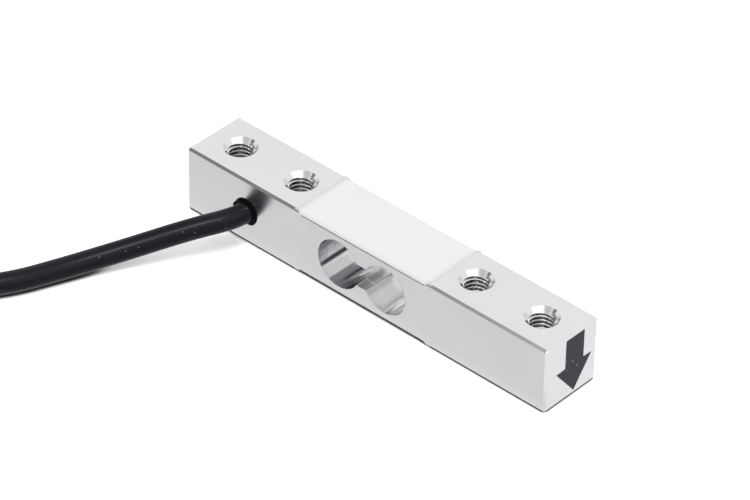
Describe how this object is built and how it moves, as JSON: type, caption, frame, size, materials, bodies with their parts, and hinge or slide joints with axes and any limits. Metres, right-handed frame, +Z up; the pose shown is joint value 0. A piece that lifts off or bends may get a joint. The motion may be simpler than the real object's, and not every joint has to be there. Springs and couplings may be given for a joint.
{
  "type": "single point load cell",
  "caption": "Slim aluminium bar load cell with a double-lobed bending cut-out, silicone-coated gauge recesses, tapped holes at both ends and a sealed side cable.",
  "frame": {"origin": "middle of the bar's bottom face, worked out without the free cable", "axes": "+X along the bar from the fixed end, where the cable leaves, to the load end; +Y across the bar, away from the cable's side; +Z up, from the bottom face to the top face"},
  "size_m": [0.1543, 0.072, 0.0127],
  "materials": {
    "machined_aluminium": "milled, satin",
    "white_silicone": "soft matte",
    "board_laminate": "satin",
    "tinned_copper": "bright",
    "resistor_body": "matte",
    "cable_jacket": "satin",
    "black_sealant": "wet gloss",
    "tie_plastic": "matte",
    "polyimide_film": "glossy film",
    "constantan_foil": "bright foil",
    "enamelled_wire": "lacquered",
    "sleeve_plastic": "matte",
    "red_insulation": "satin",
    "black_insulation": "satin",
    "green_insulation": "satin",
    "white_insulation": "satin"
  },
  "bodies": {
    "root": {"beam": "machined_aluminium", "top_coat": "white_silicone", "bottom_coat": "white_silicone", "top_terminal_board": "board_laminate", "bottom_terminal_board": "board_laminate", "top_terminal_pads": "tinned_copper", "bottom_terminal_pads": "tinned_copper", "zero_trim_resistor": "resistor_body", "span_resistor": "resistor_body", "cable_jacket_end": "cable_jacket", "cable_sealant": "black_sealant", "signal_cable": "cable_jacket", "cable_coil": "cable_jacket", "coil_tie": "tie_plastic", "tinned_lead_tips": "tinned_copper", "shield_drain_wire": "tinned_copper", "top_fixed_gauge_backing": "polyimide_film", "top_fixed_gauge_foil": "constantan_foil", "top_fixed_gauge_first_lead": "tinned_copper", "top_fixed_gauge_second_lead": "tinned_copper", "top_load_gauge_backing": "polyimide_film", "top_load_gauge_foil": "constantan_foil", "top_load_gauge_first_lead": "tinned_copper", "top_load_gauge_second_lead": "tinned_copper", "bottom_fixed_gauge_backing": "polyimide_film", "bottom_fixed_gauge_foil": "constantan_foil", "bottom_fixed_gauge_first_lead": "tinned_copper", "bottom_fixed_gauge_second_lead": "tinned_copper", "bottom_load_gauge_backing": "polyimide_film", "bottom_load_gauge_foil": "constantan_foil", "bottom_load_gauge_first_lead": "tinned_copper", "bottom_load_gauge_second_lead": "tinned_copper", "bridge_wire_1": "enamelled_wire", "bridge_wire_2": "enamelled_wire", "bridge_wire_3": "enamelled_wire", "bridge_wire_4": "enamelled_wire", "red_core_end": "red_insulation", "red_lead": "red_insulation", "red_splice_sleeve": "sleeve_plastic", "red_terminal_wire": "enamelled_wire", "black_core_end": "black_insulation", "black_lead": "black_insulation", "black_splice_sleeve": "sleeve_plastic", "black_terminal_wire": "enamelled_wire", "green_core_end": "green_insulation", "green_lead": "green_insulation", "green_splice_sleeve": "sleeve_plastic", "green_terminal_wire": "enamelled_wire", "white_core_end": "white_insulation", "white_lead": "white_insulation", "white_splice_sleeve": "sleeve_plastic", "white_terminal_wire": "enamelled_wire"}
  },
  "joints": []
}
